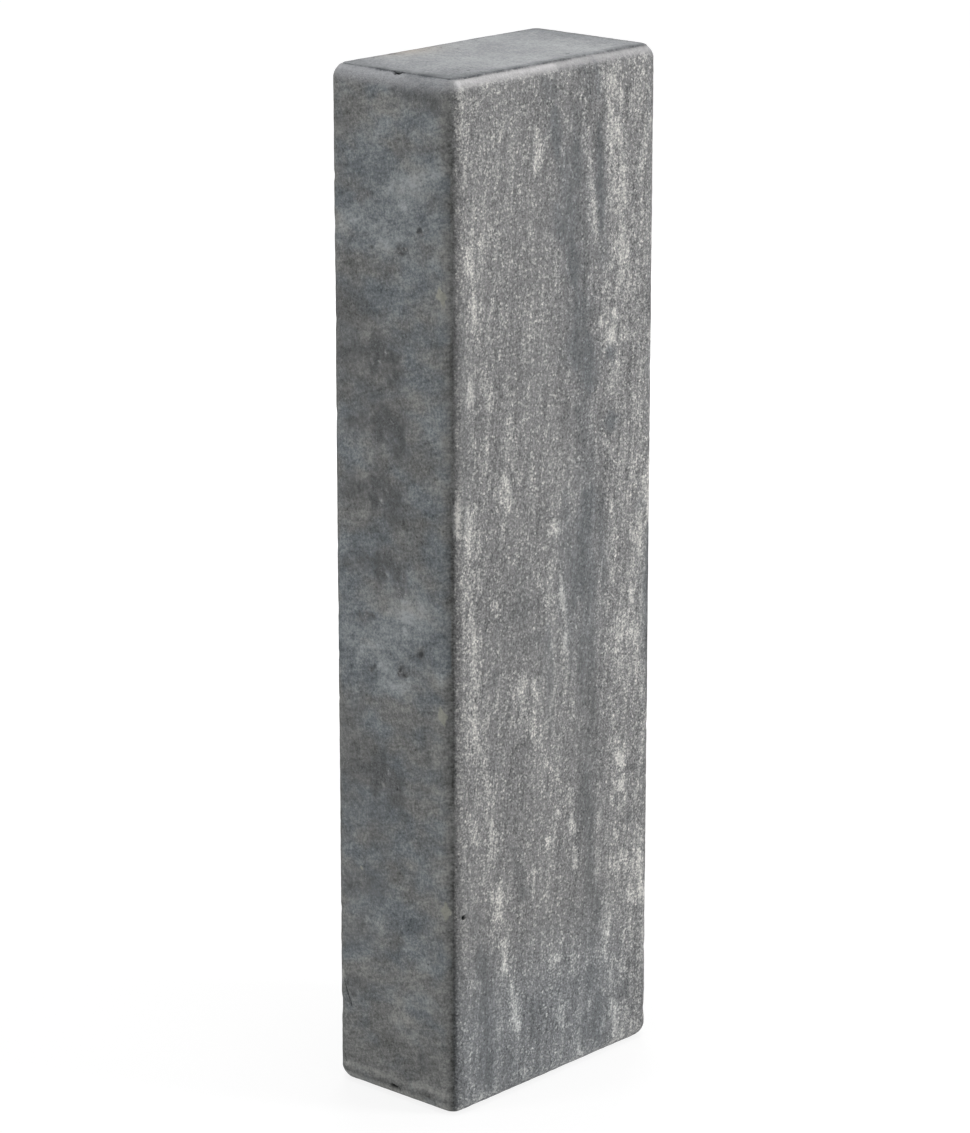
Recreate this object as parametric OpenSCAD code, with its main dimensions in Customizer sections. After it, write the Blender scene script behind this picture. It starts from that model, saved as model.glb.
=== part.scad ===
// Concrete palisade: one upright post of cast concrete, made to stand in a row.
// Its four long arrises are rounded, and a narrow steep bevel runs round each end,
// following the faces as a plane and the arrises as a cone.
// Millimetres, +Z up. The origin is the middle of the bottom face.

/* [Post] */
// Width of the two broad faces, along X
post_width = 175; // [80:1:300]
// Depth of the two narrow faces, along Y
post_depth = 95; // [60:1:200]
// Height of the post from end to end
post_height = 600; // [200:5:2000]

/* [Edges] */
// Radius of the four long arrises
arris_radius = 10; // [8.5:0.5:25]
// How far each end bevel steps in from the faces
bevel_inset = 4; // [1:0.5:8]
// How far each end bevel runs along the post
bevel_rise = 7.5; // [2:0.5:30]

/* [Hidden] */
// Segments of each rounded arris
$fn = 64;

// Distance from the middle of the post to the axis of an arris, along X and along Y
axis_x = post_width / 2 - arris_radius;
axis_y = post_depth / 2 - arris_radius;

// Points down the right edge of the post seen from one side, bevel to bevel:
// reach is the distance from the middle of that view to the face
function bevelled_edge(reach) = [
    [reach - bevel_inset, 0],
    [reach, bevel_rise],
    [reach, post_height - bevel_rise],
    [reach - bevel_inset, post_height]
];

// The stretch of the post between two arrises, with a bevel along both ends of its faces
module bevelled_slab(width, depth) {
    edge = bevelled_edge(width / 2);
    opposite_edge = [for (i = [len(edge) - 1:-1:0]) [-edge[i].x, edge[i].y]];
    rotate([90, 0, 0])
        linear_extrude(height = depth, center = true)
            polygon(concat(edge, opposite_edge));
}

// A round post with conical ends, whose outer quarter is one arris
module arris() {
    rotate_extrude()
        polygon(concat([[0, 0]], bevelled_edge(arris_radius), [[0, post_height]]));
}

// The whole post: two crossed slabs, with an arris in each corner between them
module palisade() {
    color("#8b8f90") {
        bevelled_slab(post_width, 2 * axis_y);
        rotate([0, 0, 90]) bevelled_slab(post_depth, 2 * axis_x);
        for (side_x = [-1, 1], side_y = [-1, 1])
            translate([side_x * axis_x, side_y * axis_y, 0]) arris();
    }
}

palisade();
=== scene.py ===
"""A concrete palisade, dressed: one cast post with round arrises, bevelled ends and streaked broad faces."""
import math
import random

import bmesh
import bpy
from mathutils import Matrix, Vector, noise
from mathutils.geometry import intersect_point_line


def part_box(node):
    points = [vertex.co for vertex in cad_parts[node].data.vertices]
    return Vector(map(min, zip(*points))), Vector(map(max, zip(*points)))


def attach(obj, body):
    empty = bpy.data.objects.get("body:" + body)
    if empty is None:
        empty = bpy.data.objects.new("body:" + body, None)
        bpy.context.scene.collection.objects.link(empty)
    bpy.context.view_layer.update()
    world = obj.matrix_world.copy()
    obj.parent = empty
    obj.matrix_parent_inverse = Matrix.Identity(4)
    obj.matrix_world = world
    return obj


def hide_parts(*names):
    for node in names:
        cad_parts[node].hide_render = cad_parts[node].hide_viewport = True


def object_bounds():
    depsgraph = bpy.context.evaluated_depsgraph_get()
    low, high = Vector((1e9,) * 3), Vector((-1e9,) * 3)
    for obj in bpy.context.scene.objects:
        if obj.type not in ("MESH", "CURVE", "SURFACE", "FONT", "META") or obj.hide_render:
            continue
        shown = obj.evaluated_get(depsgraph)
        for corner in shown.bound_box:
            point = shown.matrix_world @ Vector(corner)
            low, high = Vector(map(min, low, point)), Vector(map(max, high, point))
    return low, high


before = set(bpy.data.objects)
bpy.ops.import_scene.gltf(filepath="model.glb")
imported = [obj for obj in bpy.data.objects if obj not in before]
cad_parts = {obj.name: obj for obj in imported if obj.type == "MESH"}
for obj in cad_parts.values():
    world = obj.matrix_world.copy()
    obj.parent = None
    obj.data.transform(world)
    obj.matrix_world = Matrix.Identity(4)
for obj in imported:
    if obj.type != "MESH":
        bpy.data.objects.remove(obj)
cad_low, cad_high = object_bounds()


# ---------------------------------------------------------------------------
# The viewer: a long lens held a little above the post and tilted down, turned
# so that the broad face shows to the right and the narrow one to the left.
# ---------------------------------------------------------------------------

MM = 0.001
# The sensor is in millimetres. The frame's long side and the focal length share another unit.
SENSOR = 36
LONG_SIDE = 1133
FOCAL_LENGTH = 4373

turn = math.radians(47.98)
tilt = math.radians(15.99)
# How far off the viewer stands, and how far to the right of the post's middle and above it they aim
distance = 2519 * MM
aim_right = -5.86 * MM
aim_up = 1.79 * MM

back = Vector((-math.sin(turn) * math.cos(tilt), -math.cos(turn) * math.cos(tilt), math.sin(tilt)))
right = Vector((math.cos(turn), -math.sin(turn), 0))
up = back.cross(right)

camera = bpy.data.objects.new("viewer", bpy.data.cameras.new("viewer"))
bpy.context.scene.collection.objects.link(camera)
camera.data.sensor_width = SENSOR
camera.data.lens = SENSOR * FOCAL_LENGTH / LONG_SIDE
camera.data.clip_end = 100
camera.location = (cad_low + cad_high) / 2 + aim_right * right + aim_up * up + distance * back
camera.rotation_mode = "QUATERNION"
camera.rotation_quaternion = back.to_track_quat("Z", "Y")
bpy.context.scene.camera = camera


# ---------------------------------------------------------------------------
# The casting: earth-dry concrete vibrated into a steel mould and pressed from
# the end. The mould rounds the arrises, and the punch leaves the steep bevel
# and, just inside it, a fine crease round the flat end.
# ---------------------------------------------------------------------------

post_low, post_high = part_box("palisade")
post_size = post_high - post_low
middle = (post_low + post_high) / 2
half_width, half_depth = post_size.x / 2, post_size.y / 2
top = post_high.z
ARRIS = 10 * MM
BEVEL_RISE = 7.5 * MM
# The mark of the punch, from the rim inwards: each step's inset and rise in millimetres. The bevel
# starts steep and rounds over to a lip, then comes a groove with a steep inner wall up to the flat end.
BEVEL = [(0.4, 1.7), (0.8, 1.8), (1.3, 1.8), (1.1, 1.1), (1.0, 0.6)]
GROOVE = [(0.7, -0.4), (0.4, 0.8), (0.4, 0.1), (1.2, 0), (1.6, 0)]
LIP_INSET = sum(inset for inset, rise in BEVEL) * MM
GROOVE_INSET = LIP_INSET + GROOVE[0][0] * MM
# Width of the strips that the faces are cut into, fine enough for dents and chips
STRIP = 2.2 * MM

post = bmesh.new()
bmesh.ops.create_cube(post, size=1)
bmesh.ops.scale(post, vec=(post_size.x, post_size.y, post_size.z - 2 * BEVEL_RISE), verts=post.verts)
bmesh.ops.translate(post, vec=middle, verts=post.verts)

upright = [e for e in post.edges if abs(e.verts[0].co.z - e.verts[1].co.z) > post_size.z / 2]
bmesh.ops.bevel(
    post, geom=upright, offset=ARRIS, offset_type="OFFSET", segments=12, profile=0.5,
    affect="EDGES", material=-1,
)

ends = [f for f in post.faces if abs(f.normal.z) > 0.9]
for inset, rise in BEVEL + GROOVE:
    bmesh.ops.inset_individual(post, faces=ends, thickness=inset * MM, depth=rise * MM, use_even_offset=True)


def cut_into_strips(axis, margin):
    """Cuts the post square to one axis into equal strips, leaving a margin at both ends of it."""
    low, high = post_low[axis] + margin, post_high[axis] - margin
    count = math.ceil((high - low) / STRIP)
    square_to = Vector([float(i == axis) for i in range(3)])
    for i in range(1, count):
        bmesh.ops.bisect_plane(
            post, geom=post.verts[:] + post.edges[:] + post.faces[:],
            plane_co=square_to * (low + (high - low) * i / count), plane_no=square_to,
        )


cut_into_strips(0, ARRIS)
cut_into_strips(1, ARRIS)
cut_into_strips(2, BEVEL_RISE)
# The bevel itself is cut four times more, at both ends
for rise in (1.6, 3.1, 4.9, 6.6):
    for height in (post_low.z + rise * MM, top - rise * MM):
        bmesh.ops.bisect_plane(
            post, geom=post.verts[:] + post.edges[:] + post.faces[:],
            plane_co=(0, 0, height), plane_no=(0, 0, 1),
        )


# ---------------------------------------------------------------------------
# Blowholes: air that stayed against the steel left round dents of one to five
# millimetres, commonest on the smooth narrow faces and the ends. One narrow face
# also has two scratches, and marks that the mould leaves at two heights.
# ---------------------------------------------------------------------------

random.seed(7)

# Centre, radius and depth of each hole. The first six are the ones that catch the eye.
holes = [
    (Vector((-79 * MM, -half_depth, 120 * MM)), 1.4 * MM, 2 * MM),
    (Vector((-half_width + 4.8 * MM, -1.6 * MM, top - 0.4 * MM)), 1.8 * MM, 2.4 * MM),
    (Vector((-half_width + 4.8 * MM, -4.2 * MM, top - 0.4 * MM)), 1.5 * MM, 2 * MM),
    (Vector((-half_width + 1.2 * MM, 1.2 * MM, 5.3 * MM)), 2.4 * MM, 3 * MM),
    (Vector((-half_width + 1.2 * MM, -2.0 * MM, 5.0 * MM)), 2.2 * MM, 2.8 * MM),
    (Vector((-half_width + 2 * MM, -31 * MM, 3.8 * MM)), 1 * MM, 0.8 * MM),
]
# Each scratch is a row of shallow dents. Given are its two ends in millimetres, across and up.
SCRATCHES = (((42, 67), (34, 48)), ((47, 36), (39, 12)))
SCRATCH_DENTS = 25
for start, end in SCRATCHES:
    for i in range(SCRATCH_DENTS):
        y, z = Vector(start).lerp(Vector(end), i / (SCRATCH_DENTS - 1)) * MM
        holes.append((Vector((-half_width, y, z)), 0.7 * MM, 0.45 * MM))
# The heights in millimetres of the ghosts, the places where the mould marks the face. Each has four
# specks and an open ring of dents, given across, up, and by radius and depth.
GHOSTS = (500, 258)
RING_DENTS = 11
for z in GHOSTS:
    marks = [
        (-22.5, z + 15.5, 2.1, 1.1), (13, z + 1, 1.8, 0.6), (12, z - 4, 1.5, 0.4), (1, z + 10.5, 1, 0.35),
    ]
    for i in range(RING_DENTS):
        y, height = 3.6 * math.cos(i / 2) - 10, z + 3 + 2.8 * math.sin(i / 2)
        marks.append((y, height, 1.5, 0.6 - 0.2 * math.sin(i / 3)))
    for y, height, radius, depth in marks:
        holes.append((Vector((-half_width, y * MM, height * MM)), radius * MM, depth * MM))
# The rest are strewn over the two narrow faces, the two broad ones and the two ends
for side in (-1, 1):
    for i in range(14):
        across, height = random.uniform(-0.8, 0.8) * half_depth, random.uniform(0.04, 0.96) * top
        radius = random.uniform(0.5, 1.1) * MM
        holes.append((Vector((side * half_width, across, height)), radius, radius * random.uniform(0.3, 0.7)))
    for i in range(3):
        across, height = random.uniform(-0.9, 0.9) * half_width, random.uniform(0.03, 0.97) * top
        radius = random.uniform(0.6, 0.9) * MM
        holes.append((Vector((across, side * half_depth, height)), radius, radius * random.uniform(0.3, 0.7)))
for end in (post_low.z, top):
    for i in range(12):
        across, along = random.uniform(-0.8, 0.8) * half_depth, random.uniform(-0.88, 0.88) * half_width
        radius = random.uniform(0.5, 1.1) * MM
        holes.append((Vector((along, across, end)), radius, radius * random.uniform(0.3, 0.7)))

# The faces round each hole are cut finer, so that it comes out round. A dictionary keeps their edges in
# the same order each time.
around_holes = {}
for f in post.faces:
    centre = f.calc_center_median()
    if any((centre - place).length < radius + STRIP for place, radius, depth in holes):
        around_holes.update(dict.fromkeys(f.edges))
bmesh.ops.subdivide_edges(post, edges=list(around_holes), cuts=3, use_grid_fill=True)


# ---------------------------------------------------------------------------
# Relief and pigment, with some painted light and shade, set point by point: the faces are
# true to a few tenths of a millimetre, the broad ones are washed rough, and the arrises have lost grains.
# ---------------------------------------------------------------------------

# The white mix lies in wisps that lean with the pour. In millimetres on the front, across and up:
# where each wisp starts and ends, and half its width. Last comes how white it is.
WISPS = [
    (66, 600, 68, 0, 24, 0.25), (-19, 566, -17, 541, 3, 0.95), (2, 556, 5, 545, 2, 0.5),
    (24, 561, 27, 530, 2.5, 0.7), (28, 530, 31, 508, 3.5, 0.8), (31, 508, 33, 497, 2, 0.9),
    (40, 592, 48, 578, 6, 0.75), (43, 600, 47, 545, 6, 0.45), (52, 578, 55, 564, 5, 0.65),
    (50, 562, 52, 545, 7, 0.85), (43, 572, 45, 545, 5, 0.8), (53, 545, 54, 500, 8, 0.7),
    (51, 596, 55, 450, 9, 0.4), (56, 505, 55, 435, 9, 0.5), (44, 480, 45, 405, 6, 0.4),
    (55, 500, 56, 478, 7, 1.1), (56, 478, 57, 455, 5, 0.75), (44, 545, 42, 530, 3, 0.5),
    (73, 592, 74, 555, 3, 0.3), (73, 530, 76, 475, 5, 0.35), (-75, 508, -72, 484, 2.5, 0.7),
    (-72, 484, -69, 461, 3, 0.6), (-73, 436, -72, 413, 2.5, 0.65), (-64, 513, -63, 504, 2, 0.7),
    (-55, 514, -53, 499, 2, 0.6), (-78, 532, -75, 512, 2, 0.4), (36, 449, 38, 445, 2.5, 1.0),
    (47, 452, 55, 446, 3.5, 0.9), (43, 440, 50, 433, 5, 0.9), (55, 442, 62, 432, 5, 0.7),
    (51, 430, 52, 408, 2.5, 0.7), (-60, 434, -58, 412, 3, 0.35), (-52, 573, -47, 558, 5, 0.3),
    (-41, 408, -38, 376, 4.5, 0.7), (-45, 374, -42, 352, 5.5, 0.8), (-34, 374, -33, 365, 3, 0.5),
    (-45, 350, -46, 338, 3, 0.4), (-83, 364, -82, 345, 2.5, 1.0), (-69, 362, -70, 355, 2, 0.8),
    (-75, 358, -70, 329, 5.5, 0.75), (-76, 330, -72, 298, 5, 0.65), (-73, 300, -69, 268, 5, 0.75),
    (-71, 272, -67, 250, 5, 0.7), (-84, 259, -68, 258, 1.5, 0.5), (-74, 250, -66, 218, 6, 0.7),
    (-63, 226, -58, 170, 5, 0.5), (-80, 600, -77, 550, 8, 0.25), (-72, 412, -66, 384, 3, 0.25),
    (-60, 410, -58, 370, 2.5, 0.4), (-84, 216, -62, 215, 1.5, 0.4), (-53, 241, -51, 237, 3, 0.7),
    (-52, 304, -51, 290, 4, 0.4), (-17, 312, -15, 299, 2, 0.4), (-12, 300, -8, 284, 2.5, 0.4),
    (-3, 338, 0, 329, 4, 0.7), (3, 304, 6, 280, 3, 0.9), (7, 278, 9, 254, 3, 0.7),
    (10, 341, 12, 331, 2, 0.3), (13, 245, 15, 213, 2.5, 0.4), (-33, 252, -27, 236, 6, 0.55),
    (-20, 250, -16, 236, 2.5, 0.8), (-28, 234, -20, 213, 5, 0.55), (42, 378, 44, 372, 2.5, 0.9),
    (44, 352, 46, 334, 4, 0.5), (48, 198, 52, 150, 6, 0.35), (47, 341, 52, 331, 3.5, 0.6),
    (49, 332, 50, 290, 4, 0.6), (53, 400, 52, 335, 5, 0.35), (52, 292, 53, 215, 5, 0.35),
    (66, 362, 69, 338, 4, 0.4), (83, 362, 81, 322, 3.5, 0.9), (62, 322, 74, 308, 5, 0.6),
    (60, 297, 72, 292, 6, 0.45), (66, 287, 66, 276, 3, 0.8), (60, 274, 56, 254, 6, 0.6),
    (66, 262, 71, 248, 5, 0.7), (65, 260, 66, 258, 2, 1.2), (56, 246, 60, 224, 5, 0.35),
    (70, 246, 73, 230, 3, 0.35), (50, 213, 48, 204, 5, 0.4), (76, 236, 79, 200, 4, 0.3),
    (54, 199, 56, 190, 3, 0.7), (55, 188, 58, 177, 4.5, 1.0), (56, 169, 59, 162, 4.5, 1.1),
    (59, 156, 63, 153, 3, 0.7), (12, 178, 14, 162, 2.5, 0.6), (14, 160, 16, 145, 2.8, 1.0),
    (16, 139, 17, 124, 2.5, 0.9), (38, 152, 37, 144, 2, 0.9), (36, 133, 37, 125, 2.5, 0.6),
    (-8, 150, -6, 145, 3, 0.8), (1, 163, 4, 162, 2, 0.9), (-10, 198, -4, 190, 4, 0.5),
    (-75, 180, -68, 162, 5, 0.65), (-56, 170, -51, 148, 5, 0.5), (-63, 142, -62, 134, 2.5, 0.4),
    (-50, 133, -50, 117, 3.5, 0.9), (-54, 115, -48, 112, 4, 0.7), (-41, 121, -37, 121, 2.5, 0.7),
    (-48, 104, -46, 88, 2.5, 0.6), (-45, 86, -42, 75, 3, 0.8), (-38, 67, -36, 52, 4, 0.8),
    (-37, 58, -32, 36, 3.5, 0.85), (-18, 134, -18, 122, 2, 0.5), (-2, 76, 4, 71, 3.5, 0.8),
    (13, 72, 19, 66, 4, 0.5), (43, 100, 46, 60, 5, 0.35), (43, 79, 48, 71, 4, 0.6),
    (53, 137, 56, 134, 2.5, 0.8), (49, 118, 57, 113, 3.5, 0.7), (60, 125, 66, 110, 5, 0.7),
    (72, 136, 78, 126, 4, 0.5), (75, 120, 77, 100, 4, 0.8), (76, 100, 83, 88, 6, 1.1),
    (68, 100, 72, 88, 5, 0.7), (62, 49, 65, 46, 2.5, 0.9), (60, 60, 66, 30, 7, 0.3),
    (82, 92, 84, 30, 5, 0.6), (50, 45, 51, 37, 2.5, 0.5), (52, 31, 56, 14, 5, 0.95),
    (53, 12, 62, 5, 5, 0.8), (62, 28, 70, 4, 7, 0.5), (72, 58, 84, 26, 8, 0.3), (0, 50, 6, 30, 8, 0.25),
    (86, 43, 85, 35, 1.5, 0.9), (-52, 52, -50, 40, 2, 0.4), (-66, 8, -60, 4, 3, 0.6),
    (-30, 10, -22, 5, 4, 0.6), (20, 12, 26, 4, 3, 0.5), (-6, 62, -4, 44, 2.5, 0.35),
]

# Where the grey slurry ran together it dried to a smooth dark film, given in the same way
FILMS = [
    (-14, 592, -2, 580, 6, 0.4), (-3, 575, -1, 545, 4.5, 0.8), (14, 555, 15, 528, 6, 0.7),
    (6, 550, 8, 490, 7, 0.6), (0, 540, 14, 534, 6, 0.6), (10, 528, 10, 498, 9, 0.65),
    (-2, 520, 4, 498, 6, 0.7), (12, 498, 14, 470, 7, 0.8), (18, 468, 20, 444, 10, 0.65),
    (14, 446, 16, 424, 8, 0.75), (25, 442, 27, 408, 8, 0.85), (20, 408, 24, 385, 9, 0.4),
    (34, 562, 37, 498, 3.5, 0.75), (38, 497, 38, 478, 5, 0.4), (31, 597, 34, 574, 3, 0.55),
    (20, 595, 28, 574, 6, 0.3), (44, 431, 47, 424, 3.5, 0.8), (-24, 446, -26, 400, 9, 0.25),
    (46, 392, 47, 383, 5, 0.9), (24, 374, 30, 356, 6, 0.4), (29, 352, 28, 325, 7, 0.8),
    (16, 335, 14, 330, 4, 0.6), (14, 318, 16, 283, 6, 0.7), (7, 352, 14, 240, 9, 0.5),
    (-7, 278, -5, 212, 6, 0.5), (24, 350, 22, 288, 9, 0.8), (30, 312, 30, 280, 6, 0.7),
    (38, 345, 41, 288, 4, 0.5), (27, 282, 23, 220, 10, 0.65), (28, 256, 30, 240, 8, 0.7),
    (32, 230, 32, 218, 5, 0.7), (14, 570, 22, 400, 12, 0.35), (22, 400, 28, 330, 9, 0.4),
    (26, 345, 30, 90, 11, 0.5), (-32, 320, -27, 303, 8, 0.35), (-32, 300, -28, 284, 11, 0.5),
    (-50, 287, -52, 277, 6, 0.4), (-56, 259, -50, 254, 6, 0.5), (-45, 273, -10, 270, 6, 0.35),
    (-55, 212, -50, 200, 6, 0.4), (72, 337, 74, 329, 5, 0.3), (82, 318, 84, 212, 6, 0.8),
    (82, 425, 84, 395, 4, 0.4), (28, 205, 28, 182, 6, 0.5), (27, 185, 29, 138, 8, 0.8),
    (30, 137, 31, 116, 6, 0.65), (32, 114, 38, 86, 12, 0.6), (30, 84, 33, 68, 8, 0.5),
    (34, 62, 34, 42, 10, 0.5), (39, 40, 40, 8, 9, 0.65), (27, 32, 28, 10, 5, 0.5),
    (-70, 120, -68, 100, 8, 0.5), (-65, 100, -62, 78, 9, 0.7), (-62, 78, -58, 45, 11, 0.6),
    (-60, 47, -58, 12, 13, 0.55), (-38, 22, -36, 12, 10, 0.4), (-30, 124, -26, 117, 7, 0.6),
    (-12, 106, -8, 84, 10, 0.3), (-5, 62, 10, 28, 15, 0.1), (-20, 52, -15, 28, 10, 0.25),
    (-38, 152, -28, 128, 6, 0.4), (65, 149, 66, 139, 3, 0.7), (75, 172, 79, 168, 6, 0.35),
    (60, 41, 66, 31, 6, 0.45), (-84, 116, -82, 60, 4, 0.4), (-80, 480, -76, 350, 6, 0.45),
    (-80, 152, -76, 118, 6, 0.35),
]

# Pale and dark clouds in the skin of a narrow face, and stones that it leaves bare, given in the same
# way from the face's middle. Those further on are on the side away from the front.
PALE_CLOUDS = [
    (-38, 598, -38, 4, 12, 0.2), (0, 596, 0, 545, 36, 0.25), (36, 586, 12, 578, 9, 0.3),
    (8, 556, -40, 574, 9, 0.35), (36, 380, 12, 388, 7, 0.3), (34, 512, -40, 552, 14, 0.5),
    (24, 500, -30, 512, 12, 0.5), (20, 232, -20, 222, 12, 0.25), (36, 268, -40, 300, 13, 0.36),
    (10, 246, -40, 262, 10, 0.6), (-10, 100, -26, 84, 10, 0.35), (-4, 40, -16, 50, 12, 0.5),
    (-20, 78, -30, 60, 10, 0.4), (44, 60, 41, 68, 3, 1.2),
]
DARK_CLOUDS = [
    (0, 590, -38, 588, 3, 0.8), (-12, 598, -40, 596, 4, 0.5), (-28, 588, -38, 582, 4.5, 0.8),
    (38, 546, 36, 545, 3, 0.7), (40, 570, 24, 562, 4, 0.4), (44, 470, 6, 400, 16, 0.35),
    (40, 220, 10, 150, 20, 0.35), (47, 478, 5, 462, 7, 0.4), (47, 470, 44, 440, 4, 0.5),
    (47, 345, 42, 365, 5, 0.4), (46, 218, 20, 236, 9, 0.35), (44, 122, 4, 128, 11, 0.5),
    (40, 92, 14, 96, 10, 0.4), (46, 60, 22, 66, 2.5, 0.8), (34, 57, 30, 55, 3, 0.8),
    (-22, 34, -23, 24, 3.5, 0.9),
]
STONES = [
    (-37, 480, -40, 481, 4.5, 1.7), (-37, 240, -40, 241, 4, 1.6), (-39, 125, -42, 125, 4, 1.6),
    (25, 136, 24, 137, 1.8, 1),
]
# Each of the mould's ghosts is an arch over some smudges
for z in GHOSTS:
    PALE_CLOUDS += [
        (2, z + 34, -26, z + 44, 9, 0.9), (-8, z + 26, -13, z + 28, 3, 1.3),
        (28, z - 2, 20, z + 11, 2.5, 0.7),
        (20, z + 11, 4, z + 16, 2.5, 0.7), (4, z + 16, -18, z + 8, 2.5, 0.7), (10, z + 2, 0, z + 6, 5, 0.9),
    ]
    DARK_CLOUDS += [
        (-5, z, -12, z + 3, 2.2, 1.1), (17, z - 2, 14, z + 1, 2.5, 0.7), (26, z + 26, 14, z + 31, 4, 0.8),
        (-21, z + 14, -25, z + 14, 2, 0.8),
    ]
# Rough blots, each a dark bow round two pale spots, lie between the ghosts and below them: up and across
BLOTS = ((440, 0), (400, -4), (361, 0), (319, -4), (194, 0))
for z, y in BLOTS:
    PALE_CLOUDS += [(y + 8, z - 4, y + 7, z - 4, 1.5, 1), (y + 4, z + 3, y + 3, z + 3, 1.3, 0.9)]
    DARK_CLOUDS += [
        (y + 40, z - 3, y + 16, z + 3, 6, 0.7), (y + 16, z + 3, y + 3, z + 5, 7.5, 1.1),
        (y + 3, z + 4, y - 5, z - 4, 6.5, 1.05), (y - 5, z - 4, y - 1, z - 15, 6, 0.8),
        (y + 15, z - 4, y + 9, z - 6, 7, 1.05),
    ]
# The tint of that skin goes from blue to warm in bands: the height and half height of each in
# millimetres, and its warmth
TINTS = (
    (526, 26, -0.1), (450, 40, 0.05), (375, 22, 0.04), (284, 26, -0.11), (210, 30, 0.06), (25, 45, 0.12),
)


def clamp(value, low=0, high=1):
    """The value, kept between two limits."""
    return min(max(value, low), high)


def hump(value, centre, width):
    """1 at the centre, falling off smoothly to both sides of it."""
    return math.exp(-((value - centre) / width) ** 2)


def inside(place, streaks):
    """How far a place on a face lies in one of the streaks, from 0 to about 1."""
    found = 0
    for x1, z1, x2, z2, half, strength in streaks:
        if min(z1, z2) - 3 * half < place.y < max(z1, z2) + 3 * half:
            start, end = Vector((x1, z1)), Vector((x2, z2))
            share = clamp(intersect_point_line(place, start, end)[1])
            # A streak is widest half way along, and a third of that at its two ends
            width = half * (1.05 - 0.7 * (2 * share - 1) ** 2)
            away = (place - start.lerp(end, share)).length / width
            found = max(found, strength / (1 + away ** 2.5))
    return found


# What the concrete's finish, with the light and shade painted on it, reads at each point of the mesh
layer_names = ("broad", "painted_light_and_marks", "bevel", "cap", "pale", "dark", "stone", "hole", "groove", "warm", "blue")
broad, painted_light_and_marks, bevel, cap, pale, dark, stone, hole, groove, warm, blue = [
    post.verts.layers.float.new(name) for name in layer_names
]

# How far out a hole's rim lies, in radii
RIM = 1.4

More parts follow.
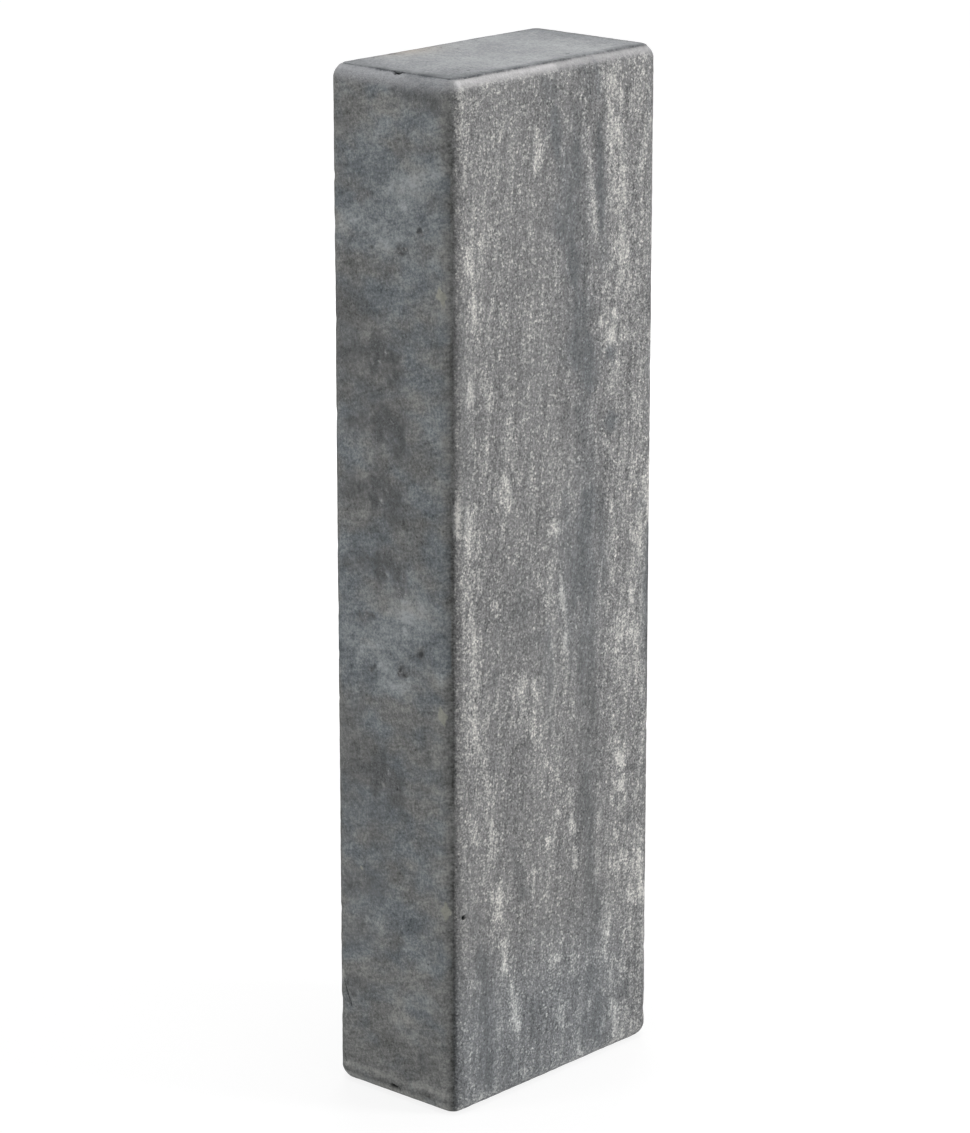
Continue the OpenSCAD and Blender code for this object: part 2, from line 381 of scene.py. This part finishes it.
post.normal_update()
moves = []
for v in post.verts:
    # The point in millimetres
    p = v.co / MM
    x, y, z = p
    # How far the point lies past the start of the arris each way, from the nearer end, and in from the rim
    past_x = abs(v.co.x) - half_width + ARRIS
    past_y = abs(v.co.y) - half_depth + ARRIS
    from_end = min(v.co.z - post_low.z, post_high.z - v.co.z)
    inset = ARRIS - math.hypot(max(past_x, 0), max(past_y, 0)) - min(max(past_x, past_y), 0)
    at_end = from_end < 2 * MM

    # 0 on a narrow face, 1 on a broad one, and between the two on the arris
    swing = math.atan2(max(past_y, 0), max(past_x, 1e-9)) / (math.pi / 2)
    v[broad] = swing
    # The arris is painted dark and ragged where the skins meet, painted shade that deepens the half shade the
    # lamps leave there, most of all low down, and less so on the far sides
    uneven = 1 + 0.35 * noise.noise(Vector((x / 4, y / 4, z / 11)))
    if x < 0:
        arris_shade = 1.2 * min((top - v.co.z) / (55 * MM), 1) + 0.55 * max(1 - v.co.z / (130 * MM), 0)
        v[painted_light_and_marks] = -arris_shade * uneven * hump(swing, 0.48, 0.1 if y < 0 else 0.17)
    else:
        v[painted_light_and_marks] = -0.75 * uneven * hump(swing, 0.62, 0.25)
    # Beside it the washed face has a pale band
    v[painted_light_and_marks] += 0.35 * swing * hump(x, -81.5, 3)
    # The pale skin of the top bevel reaches further down on the narrow side
    skin_height = (8 - 3.4 * swing) * MM
    v[bevel] = clamp(1.5 - from_end / skin_height) * (v.co.z > middle.z)
    v[painted_light_and_marks] *= 1 - 0.8 * v[bevel]
    # It is a little darker along the right half, and a painted highlight makes it palest at the front corner
    # and along the lip
    v[painted_light_and_marks] -= 0.003 * max(x, 0) * v[bevel]
    v[painted_light_and_marks] += 2.1 * v[bevel] * hump(swing, 0.84, 0.18) * (x < 0)
    v[painted_light_and_marks] += 0.3 * v[bevel] * hump(from_end / MM, 1.6, 1.2)
    # The foot's rounding is painted pale up to 5 mm, painted light where it faces down away from the lamps,
    # and it is paler higher up on part of a broad side
    v[painted_light_and_marks] += (1.8 - 1.3 * swing) * math.exp(-(z / 5.6) ** 6)
    v[painted_light_and_marks] += 0.2 * swing * hump(z, 0, 15) * (x > -20)
    # On a narrow side a dark line, the mould's seam, lies above that, and over it a painted highlight, a pale
    # band where the rounding of the foot meets the face
    over_line = z - 7.6 + y / 50
    v[painted_light_and_marks] -= 0.45 * (1 - swing) * hump(over_line, 0, 1)
    v[painted_light_and_marks] += 1.1 * (1 - swing) * hump(over_line, 4, 2)
    on_end = float(at_end and inset > GROOVE_INSET + 0.1 * MM)
    v[cap] = on_end
    # Painted shade lies in the crease and spreads beside it, further over the flat end than down the
    # bevel and furthest at the front and on the left, but it runs out before the left corner
    if inset < GROOVE_INSET:
        shade_width = 1.5 * MM
    elif min(x, y) < ARRIS / MM - half_depth / MM:
        shade_width = 5 * MM
    else:
        shade_width = 2.2 * MM
    to_corner = math.hypot(v.co.x + half_width, v.co.y - half_depth)
    v[groove] = at_end * hump(inset, GROOVE_INSET, shade_width) * (1 - hump(to_corner, 0, 27 * MM))
    # It is thicker along the short sides, and uneven
    v[groove] *= 0.9 if past_x > past_y else 0.72
    v[groove] *= 1 + 0.9 * noise.noise(Vector((x / 10, y / 10, 5.5))) + 0.7 * noise.noise(p / 2.7)

    # The back and the far side are the front and the near side turned about, upside down
    if swing > 0.5:
        place = Vector((x, z)) if y < 0 else Vector((-x, top / MM - z))
        place.x += 1.5 * noise.noise(Vector((place.x / 12, 3.1, place.y / 20)))
        v[pale], v[dark] = inside(place, WISPS), inside(place, FILMS)
        # The foot is a little bluer than the rest, all but its right side, and so are the films higher up
        foot = clamp((105 - place.y) / 60, 0, 0.9) * clamp((82 - place.x) / 45, 0.1, 1)
        film = clamp((place.y - 230) / 60, 0, 0.75) * clamp((place.x + 25) / 15)
        v[blue] = max(foot, v[dark] * film)
        # The last of the mould's skin on the arris is warm
        v[warm] = 1
    else:
        place = Vector((y, z)) if x < 0 else Vector((-y, top / MM - z))
        place.y += 2 * noise.noise(Vector((place.x / 9, 7.7, place.y / 9)))
        v[pale], v[dark] = inside(place, PALE_CLOUDS), inside(place, DARK_CLOUDS)
        v[dark] *= 1 + 1.1 * noise.noise(p / 3)
        v[stone] = inside(place, STONES)
        # The skin is half way between blue and warm, mottled, and warmer towards the arris
        v[warm] = 0.495 + 0.3 * swing + 0.22 * noise.noise(Vector((place.x / 27, 1.7, place.y / 16)))
        v[warm] += 0.12 * noise.noise(Vector((place.x / 9, 4.2, place.y / 6)))
        for height, half_height, warmth in TINTS:
            v[warm] += warmth * hump(place.y, height, half_height)

    # The top bevel is bluest on the narrow sides. A flat end is darker towards them, and along one edge
    # the top has a yellow tinge.
    v[blue] = max(v[blue], 0.85 * v[bevel] * (1 - swing))
    if on_end:
        tinge = v[bevel] * hump(x, -27, 21) * hump(y, 44, 14)
        v[dark] = max(abs(x) - 45, 0) / 50 + 0.3 * tinge
        v[blue] = 0.35 - 3.8 * tinge

    # The relief all goes inwards: slow waves, the washed faces' roughness, pits, grains lost from an
    # arris, and the holes
    waver = 0.3 * (0.5 + 0.5 * noise.noise(p / 65))
    clotted = 1 + noise.noise(Vector((x / 4.5, y / 4.5, z / 7)))
    rough = 0.2 * (1 - on_end) * swing * (1 - 0.6 * v[dark]) * clotted
    pocked = 0.1 * (1 + noise.noise(p / 5 + Vector((9, 0, 0))))
    lost = math.sin(math.pi * swing) * (1 - on_end) * max(noise.noise(p / 8) - 0.25, 0)
    inward = (waver + rough + pocked + lost) * MM
    for centre, radius, depth in holes:
        if abs(v.co.z - centre.z) < 2 * radius:
            away = (v.co - centre).length / radius
            if away < RIM:
                bowl = (1 - (away / RIM) ** 2) ** 1.5
                inward += depth * bowl
                v[hole] = max(v[hole], bowl * min(depth / radius, 1))
    moves.append(v.normal * inward)
for v, move in zip(post.verts, moves):
    v.co -= move

body = bpy.data.meshes.new("palisade_cast")
post.to_mesh(body)
post.free()
body.shade_smooth()
cast = bpy.data.objects.new("palisade_cast", body)
bpy.context.scene.collection.objects.link(cast)
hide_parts("palisade")
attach(cast, "root")


# ---------------------------------------------------------------------------
# The concrete: grey and white mixes poured together. The broad faces are washed
# so that sand shows, the narrow ones keep the dense blue-grey skin of the mould,
# and the pressed ends have a pale cement skin.
# ---------------------------------------------------------------------------

concrete = bpy.data.materials.new("washed_cast_concrete")
concrete.use_nodes = True
concrete.node_tree.nodes.clear()
cast.data.materials.append(concrete)


def shade(hex_colour):
    """An sRGB hex colour as a linear one."""
    parts = [int(hex_colour[i:i + 2], 16) / 255 for i in (1, 3, 5)]
    return [c / 12.92 if c <= 0.04045 else ((c + 0.055) / 1.055) ** 2.4 for c in parts] + [1]


def add(tree, kind, links, **settings):
    """Adds a node to a tree. Each of links is an input and the node, socket or value that feeds it."""
    node = tree.nodes.new("ShaderNode" + kind)
    for name, value in settings.items():
        setattr(node, name, value)
    for name, value in links.items():
        if isinstance(value, bpy.types.Node):
            value = next(s for s in value.outputs if s.enabled)
        if isinstance(value, bpy.types.NodeSocket):
            tree.links.new(value, node.inputs[name])
        else:
            node.inputs[name].default_value = value
    return node


tree = concrete.node_tree
on_post = add(tree, "TexCoord", {}).outputs["Object"]
layers = {}

# Mottling. For each: lean across the broad faces and across the narrow ones in degrees, width and
# height of the largest blots in millimetres, finer octaves below them, and their share. Each reads
# another part of the same noise.
for number, (name, lean, slant, width, height, octaves, share) in enumerate((
    ("sand", 0, 0, 1.3, 1.3, 1, 0.9),
    ("clots", 5, 0, 3.8, 5.5, 2, 0.9),
    ("strands", 6, 0, 3.2, 26, 1, 0.8),
    ("streaks", 6, 0, 9, 75, 2, 0.8),
    ("pours", 5, 0, 38, 170, 1, 0.6),
    ("skin", 0, -20, 24, 15, 6, 0.85),
    ("cloud", 0, -35, 120, 60, 2, 0.6),
    ("specks", 0, 0, 1.7, 1.7, 1, 0.6),
    ("slips", 0, -17, 13, 2, 1, 0.6),
)):
    sized = add(tree, "Mapping", {
        "Vector": on_post, "Location": (17 * number, 0, 0),
        "Rotation": (math.radians(slant), math.radians(lean), 0),
    }, vector_type="TEXTURE")
    sized = add(tree, "Mapping", {
        "Vector": sized, "Scale": (1 / (width * MM), 1 / (width * MM), 1 / (height * MM)),
    })
    layers[name] = add(tree, "TexNoise", {"Vector": sized, "Scale": 1, "Detail": octaves, "Roughness": share})

# Sand grains, drawn a little over a millimetre wide so that they show. A few are much paler than the rest.
cells = add(tree, "TexVoronoi", {"Vector": on_post, "Scale": 1 / (1.2 * MM)})
grain = add(tree, "SeparateColor", {"Color": cells.outputs["Color"]})
layers["grain"] = grain.outputs[0]
layers["quartz"] = add(tree, "Math", {0: grain.outputs[1], 1: 6}, operation="POWER")

for name in layer_names:
    layers[name] = add(tree, "Attribute", {}, attribute_name=name).outputs["Fac"]

# The white mix fills the places between the clots, so that its wisps are ragged
ragged = -1.6
for name, weight in (("pale", 1.2), ("clots", 0.9), ("strands", 1.1), ("sand", 1.2)):
    ragged = add(tree, "Math", {0: layers[name], 1: weight, 2: ragged}, operation="MULTIPLY_ADD")
layers["white"] = add(tree, "MapRange", {
    "Value": ragged, "From Min": 0.15, "From Max": 1.25,
})

# The mould's skin has the same mottling in a cool and a warm tint
SKIN_TONE = -1.31
SKIN_PARTS = (
    ("skin", 1.35), ("cloud", 0.4), ("slips", 0.35), ("sand", 0.5), ("specks", 0.68), ("clots", 0.27),
    ("painted_light_and_marks", 0.25), ("pale", 0.42),
)
# Each finish: the tone it starts from, what each layer adds to it, and the colours from tone 0 to 1
finishes = {}
for finish, tone, parts, colours in (
    ("washed", -0.64, (
        ("sand", 0.68), ("clots", 0.24), ("strands", 0.27), ("streaks", 0.27), ("pours", 0.3),
        ("grain", 0.24), ("quartz", 0.3), ("white", 0.39), ("painted_light_and_marks", 0.25),
    ), ("#464748", "#989898", "#edebe6")),
    ("filmed", -0.37, (
        ("sand", 0.5), ("clots", 0.22), ("strands", 0.2), ("streaks", 0.2), ("grain", 0.14),
        ("quartz", 0.16), ("white", 0.38), ("painted_light_and_marks", 0.3),
    ), ("#454647", "#8a8c8d", "#d8d9d9")),
    ("moulded cool", SKIN_TONE, SKIN_PARTS, ("#4a5054", "#8a9094", "#c3c8ca")),
    ("moulded warm", SKIN_TONE, SKIN_PARTS, ("#4d4e4c", "#8f908f", "#c5c5c2")),
    ("bared", 0.08, (("sand", 0.5), ("specks", 0.4), ("clots", 0.4)), ("#74756c", "#9fa097", "#c8c8be")),
    ("bevelled", -0.28, (
        ("cloud", 0.5), ("skin", 0.6), ("specks", 0.4), ("painted_light_and_marks", 0.3), ("dark", -0.3),
    ), ("#77797a", "#abaaab", "#d2d0d1")),
    ("pressed", -0.79, (
        ("cloud", 0.7), ("skin", 1.0), ("specks", 0.7), ("dark", -0.4),
    ), ("#7a7c7e", "#a7a8a9", "#c9c9c7")),
):
    for name, weight in parts:
        tone = add(tree, "Math", {0: layers[name], 1: weight, 2: tone}, operation="MULTIPLY_ADD")
    ramp = add(tree, "ValToRGB", {"Fac": tone})
    ramp.color_ramp.elements.new(0.5)
    for stop, colour in zip(ramp.color_ramp.elements, colours):
        stop.color = shade(colour)
    finishes[finish] = ramp
# Painted shade, for the crease and for the holes
finishes["crease_shade"] = shade("#5c5e60")
finishes["shadowed"] = shade("#333536")

# One finish over another as a layer rises between two values, with an edge frayed by the sand
surface = finishes["moulded cool"]
for finish, name, low, high, frayed in (
    ("moulded warm", "warm", 0.42, 0.6, 0),
    ("washed", "broad", 0.49, 0.59, 0.2),
    ("filmed", "dark", 0.1, 0.9, 2.2),
    ("bared", "stone", 0.4, 0.7, 0.4),
    ("bevelled", "bevel", 0.2, 0.8, 1.0),
    ("pressed", "cap", 0.4, 0.6, 0),
    ("crease_shade", "groove", 0, 1.1, 1.6),
    ("shadowed", "hole", 0.1, 0.7, 0),
):
    edge = add(tree, "Math", {0: layers["sand"], 1: frayed, 2: 1 - frayed / 2}, operation="MULTIPLY_ADD")
    edge = add(tree, "Math", {0: layers[name], 1: edge}, operation="MULTIPLY")
    cover = add(tree, "MapRange", {"Value": edge, "From Min": low, "From Max": high})
    surface = add(tree, "Mix", {0: cover, 6: surface, 7: finishes[finish]}, data_type="RGBA")

# A faint tint lies over them all, blue above 0 and yellow below it
surface = add(tree, "Mix", {
    0: layers["blue"], 6: surface, 7: shade("#f7fbff"),
}, data_type="RGBA", blend_type="MULTIPLY", clamp_factor=False)

# Bare cement is matt, with hardly any gloss, and gritty to the touch
grit = add(tree, "Math", {0: layers["sand"], 1: layers["clots"]}, operation="ADD")
relief = add(tree, "Bump", {"Strength": 0.6, "Distance": 1 * MM, "Height": grit})
cement = add(tree, "BsdfPrincipled", {
    "Base Color": surface, "Roughness": 0.9, "Specular IOR Level": 0.2, "Normal": relief,
})
add(tree, "OutputMaterial", {"Surface": cement})


# ---------------------------------------------------------------------------
# The studio: two tall softboxes, one on each side, leave the arris between them
# in half shade. A third lights the far side, and one hangs overhead.
# ---------------------------------------------------------------------------

def softbox(name, bearing, elevation, gap, level, size):
    """A lamp aimed at the post across a gap. At level 1 a face square to it shows its colour as written."""
    lamp = bpy.data.lights.new(name, "AREA")
    lamp.shape = "RECTANGLE"
    lamp.size, lamp.size_y = size
    lamp.energy = level * math.pi ** 2 * gap ** 2
    hung = bpy.data.objects.new(name, lamp)
    bpy.context.scene.collection.objects.link(hung)
    a, e = math.radians(bearing), math.radians(elevation)
    outward = Vector((math.sin(a) * math.cos(e), -math.cos(a) * math.cos(e), math.sin(e)))
    hung.location = middle + outward * gap
    hung.rotation_mode = "QUATERNION"
    hung.rotation_quaternion = outward.to_track_quat("Z", "Y")
    hung.visible_camera = False


# Bearing and elevation in degrees, gap in metres, level, and the lamp's width and height in metres
facing = -math.degrees(turn)
softbox("right_box", facing + 78, 10, 1.8, 0.78, (0.5, 1.3))
softbox("left_box", facing - 66, 10, 1.8, 0.345, (0.5, 1.3))
softbox("far_box", facing + 180, 15, 2.2, 0.5, (1.0, 1.2))
softbox("overhead", facing, 88, 1.9, 0.6, (0.8, 0.8))

# Half the width of the floor in metres
FLOOR_HALF = 30

floor_mesh = bpy.data.meshes.new("floor")
ground = bmesh.new()
bmesh.ops.create_grid(ground, x_segments=1, y_segments=1, size=FLOOR_HALF)
bmesh.ops.translate(ground, vec=(0, 0, post_low.z), verts=ground.verts)
ground.to_mesh(floor_mesh)
ground.free()
floor = bpy.data.objects.new("floor", floor_mesh)
bpy.context.scene.collection.objects.link(floor)


def seen_as_white(tree):
    """1 for the rays to which the room is white: the eye's own, and those off gloss and through glass."""
    rays = add(tree, "LightPath", {})
    seen = add(tree, "Math", {
        0: rays.outputs["Is Camera Ray"], 1: rays.outputs["Is Glossy Ray"],
    }, operation="MAXIMUM")
    return add(tree, "Math", {0: seen, 1: rays.outputs["Is Transmission Ray"]}, operation="MAXIMUM")


WHITE = shade("#ffffff")

paper = bpy.data.materials.new("white_paper_floor")
paper.use_nodes = True
tree = paper.node_tree
tree.nodes.clear()
floor_mesh.materials.append(paper)
# The paper glows least near the post, so that the shadow stays, and is white where the lamps fall off
on_floor = add(tree, "TexCoord", {}).outputs["Object"]
from_post = add(tree, "VectorMath", {0: on_floor}, operation="LENGTH").outputs["Value"]
strength = add(tree, "MapRange", {
    "Value": from_post, "From Min": 0.3, "From Max": 1.5, "To Min": 0.85, "To Max": 1,
})
glow = add(tree, "Emission", {"Color": WHITE, "Strength": strength})
dull = add(tree, "BsdfDiffuse", {"Color": shade("#7c7c7c")})
lit = add(tree, "AddShader", {0: glow, 1: dull})
# The light that it throws back up on the post is a pale sheet's
pale_sheet = add(tree, "BsdfDiffuse", {"Color": shade("#b4b4b4")})
sheet = add(tree, "MixShader", {0: seen_as_white(tree), 1: pale_sheet, 2: lit})
add(tree, "OutputMaterial", {"Surface": sheet})

world = bpy.data.worlds.new("white_room")
bpy.context.scene.world = world
world.use_nodes = True
tree = world.node_tree
tree.nodes.clear()
# The room throws very little light of its own on the post
dim = add(tree, "Background", {"Color": WHITE, "Strength": 0.05})
bright = add(tree, "Background", {"Color": WHITE, "Strength": 1})
sky = add(tree, "MixShader", {0: seen_as_white(tree), 1: dim, 2: bright})
add(tree, "OutputWorld", {"Surface": sky})

bpy.context.scene.view_settings.view_transform = "Standard"
